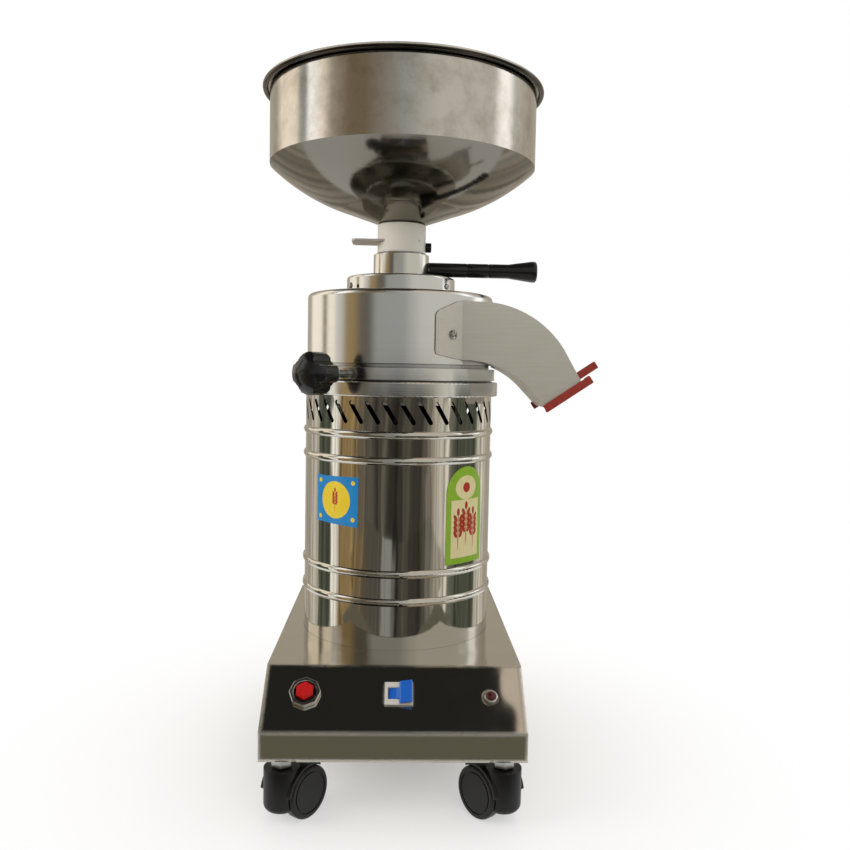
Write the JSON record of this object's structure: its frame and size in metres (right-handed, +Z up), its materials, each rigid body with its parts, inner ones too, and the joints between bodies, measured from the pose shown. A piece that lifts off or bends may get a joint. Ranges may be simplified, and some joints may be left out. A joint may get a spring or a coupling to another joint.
{
  "type": "flour mill",
  "caption": "Upright electric flour mill on castors: round steel hopper, stone grinding head with side chute, beaded motor casing and sheet base with a sloping control panel.",
  "frame": {"origin": "on the motor axis at floor level, under the castors", "axes": "+Z up along the motor axis, -Y towards the control panel, +X towards the chute"},
  "size_m": [0.3588, 0.3728, 0.6892],
  "materials": {
    "mirror_steel": "polished",
    "zinc_steel": "satin",
    "turned_aluminium": "turned",
    "satin_steel": "satin",
    "polished_sleeve": "polished",
    "core_steel": "matte",
    "copper": "lacquered",
    "millstone": "rough stone",
    "black_plastic": "satin",
    "castor_plastic": "satin",
    "white_nylon": "satin",
    "red_rubber": "matte",
    "chrome": "polished",
    "red_plastic": "gloss",
    "grey_plastic": "satin",
    "blue_plastic": "gloss",
    "red_lens": "gloss"
  },
  "bodies": {
    "stand": {"base_shell": "mirror_steel", "base_tray": "zinc_steel", "tray_screws": "zinc_steel", "capacitor": "grey_plastic", "cable_gland": "black_plastic", "breaker_body": "black_plastic", "breaker_nut": "chrome", "rocker_frame": "grey_plastic", "lamp_bezel": "chrome", "lamp_lens": "red_lens", "motor_casing": "mirror_steel", "casing_flange": "turned_aluminium", "tie_rods": "zinc_steel", "rod_spacers": "zinc_steel", "lower_shield": "turned_aluminium", "upper_shield": "turned_aluminium", "ball_bearings": "zinc_steel", "stator_core": "core_steel", "stator_windings": "copper", "castor_stems": "zinc_steel"},
    "rotor": {"rotor_core": "core_steel", "motor_shaft": "zinc_steel", "cooling_fan": "black_plastic", "runner_holder": "turned_aluminium", "runner_stone": "millstone", "runner_nut": "zinc_steel"},
    "mill_head": {"chamber_shell": "turned_aluminium", "head_collar": "turned_aluminium", "collar_screws": "zinc_steel", "chute": "satin_steel", "chute_screws": "zinc_steel", "outlet_trim_front": "red_rubber", "outlet_trim_back": "red_rubber"},
    "clamp_screw": {"clamp_stud": "zinc_steel"},
    "clamp_grip": {"clamp_knob": "black_plastic", "clamp_nut": "zinc_steel"},
    "feed_head": {"stone_carrier": "turned_aluminium", "bed_stone": "millstone"},
    "adjuster": {"adjuster_sleeve": "polished_sleeve", "handle_rod": "zinc_steel", "handle_grip": "black_plastic"},
    "hopper_unit": {"hopper_wall": "mirror_steel", "hopper_cone": "mirror_steel", "feed_neck": "white_nylon", "neck_lock_screw": "black_plastic"},
    "gate": {"feed_gate": "satin_steel"},
    "reset_cap": {"reset_button": "red_plastic"},
    "rocker_key": {"rocker": "blue_plastic"},
    "castor_fl": {"castor_hood_fl": "castor_plastic"},
    "wheel_fl_a": {"wheel_fl_a": "castor_plastic"},
    "wheel_fl_b": {"wheel_fl_b": "castor_plastic"},
    "castor_fr": {"castor_hood_fr": "castor_plastic"},
    "wheel_fr_a": {"wheel_fr_a": "castor_plastic"},
    "wheel_fr_b": {"wheel_fr_b": "castor_plastic"},
    "castor_rl": {"castor_hood_rl": "castor_plastic"},
    "wheel_rl_a": {"wheel_rl_a": "castor_plastic"},
    "wheel_rl_b": {"wheel_rl_b": "castor_plastic"},
    "castor_rr": {"castor_hood_rr": "castor_plastic"},
    "wheel_rr_a": {"wheel_rr_a": "castor_plastic"},
    "wheel_rr_b": {"wheel_rr_b": "castor_plastic"}
  },
  "joints": [
    {"name": "rotor_spin", "type": "hinge", "parent": "stand", "child": "rotor", "pos_m": [0, 0, 0.295], "axis": [0, 0, 1], "continuous": true},
    {"name": "head_lift", "type": "slide", "parent": "stand", "child": "mill_head", "axis": [0, 0, 1], "range_m": [0, 0.05]},
    {"name": "clamp_travel", "type": "slide", "parent": "mill_head", "child": "clamp_screw", "axis": [-0.5299, -0.848, 0], "range_m": [0, 0.00186]},
    {"name": "clamp_turn", "type": "hinge", "parent": "clamp_screw", "child": "clamp_grip", "pos_m": [-0.07737, -0.12381, 0.39625], "axis": [-0.5299, -0.848, 0], "range_deg": [0, 540]},
    {"name": "stone_gap", "type": "slide", "parent": "mill_head", "child": "feed_head", "axis": [0, 0, 1], "range_m": [-0.00026, 0.00076]},
    {"name": "adjuster_turn", "type": "hinge", "parent": "feed_head", "child": "adjuster", "pos_m": [0, 0, 0.5075], "axis": [0, 0, 1], "range_deg": [-45, 135]},
    {"name": "hopper_lift", "type": "slide", "parent": "feed_head", "child": "hopper_unit", "axis": [0, 0, 1], "range_m": [0, 0.04]},
    {"name": "gate_slide", "type": "slide", "parent": "hopper_unit", "child": "gate", "axis": [-1, 0, 0], "range_m": [0, 0.036]},
    {"name": "reset_press", "type": "slide", "parent": "stand", "child": "reset_cap", "axis": [0, 0.6357, -0.7719], "range_m": [0, 0.003], "stiffness_N_per_m": 300},
    {"name": "rocker_tilt", "type": "hinge", "parent": "stand", "child": "rocker_key", "pos_m": [0.004, -0.16239, 0.10956], "axis": [0, 0.7719, 0.6357], "range_deg": [0, 16]},
    {"name": "swivel_fl", "type": "hinge", "parent": "stand", "child": "castor_fl", "pos_m": [-0.0985, -0.176, 0.04], "axis": [0, 0, 1], "continuous": true},
    {"name": "roll_fl_a", "type": "hinge", "parent": "castor_fl", "child": "wheel_fl_a", "pos_m": [-0.09765, -0.1541, 0.0235], "axis": [-0.7986, 0.6018, 0], "continuous": true},
    {"name": "roll_fl_b", "type": "hinge", "parent": "castor_fl", "child": "wheel_fl_b", "pos_m": [-0.07768, -0.16915, 0.0235], "axis": [-0.7986, 0.6018, 0], "continuous": true},
    {"name": "swivel_fr", "type": "hinge", "parent": "stand", "child": "castor_fr", "pos_m": [0.0985, -0.176, 0.04], "axis": [0, 0, 1], "continuous": true},
    {"name": "roll_fr_a", "type": "hinge", "parent": "castor_fr", "child": "wheel_fr_a", "pos_m": [0.07768, -0.16915, 0.0235], "axis": [-0.7986, -0.6018, 0], "continuous": true},
    {"name": "roll_fr_b", "type": "hinge", "parent": "castor_fr", "child": "wheel_fr_b", "pos_m": [0.09765, -0.1541, 0.0235], "axis": [-0.7986, -0.6018, 0], "continuous": true},
    {"name": "swivel_rl", "type": "hinge", "parent": "stand", "child": "castor_rl", "pos_m": [-0.0985, 0.135, 0.04], "axis": [0, 0, 1], "continuous": true},
    {"name": "roll_rl_a", "type": "hinge", "parent": "castor_rl", "child": "wheel_rl_a", "pos_m": [-0.10409, 0.15619, 0.0235], "axis": [-0.9397, 0.342, 0], "continuous": true},
    {"name": "roll_rl_b", "type": "hinge", "parent": "castor_rl", "child": "wheel_rl_b", "pos_m": [-0.0806, 0.14764, 0.0235], "axis": [-0.9397, 0.342, 0], "continuous": true},
    {"name": "swivel_rr", "type": "hinge", "parent": "stand", "child": "castor_rr", "pos_m": [0.0985, 0.135, 0.04], "axis": [0, 0, 1], "continuous": true},
    {"name": "roll_rr_a", "type": "hinge", "parent": "castor_rr", "child": "wheel_rr_a", "pos_m": [0.0806, 0.14764, 0.0235], "axis": [-0.9397, -0.342, 0], "continuous": true},
    {"name": "roll_rr_b", "type": "hinge", "parent": "castor_rr", "child": "wheel_rr_b", "pos_m": [0.10409, 0.15619, 0.0235], "axis": [-0.9397, -0.342, 0], "continuous": true}
  ],
  "couplings": [
    {"joint": "clamp_turn", "follows": "clamp_travel", "rad_per_m": 5026.5},
    {"joint": "stone_gap", "follows": "adjuster_turn", "m_per_rad": 0.00031831}
  ]
}
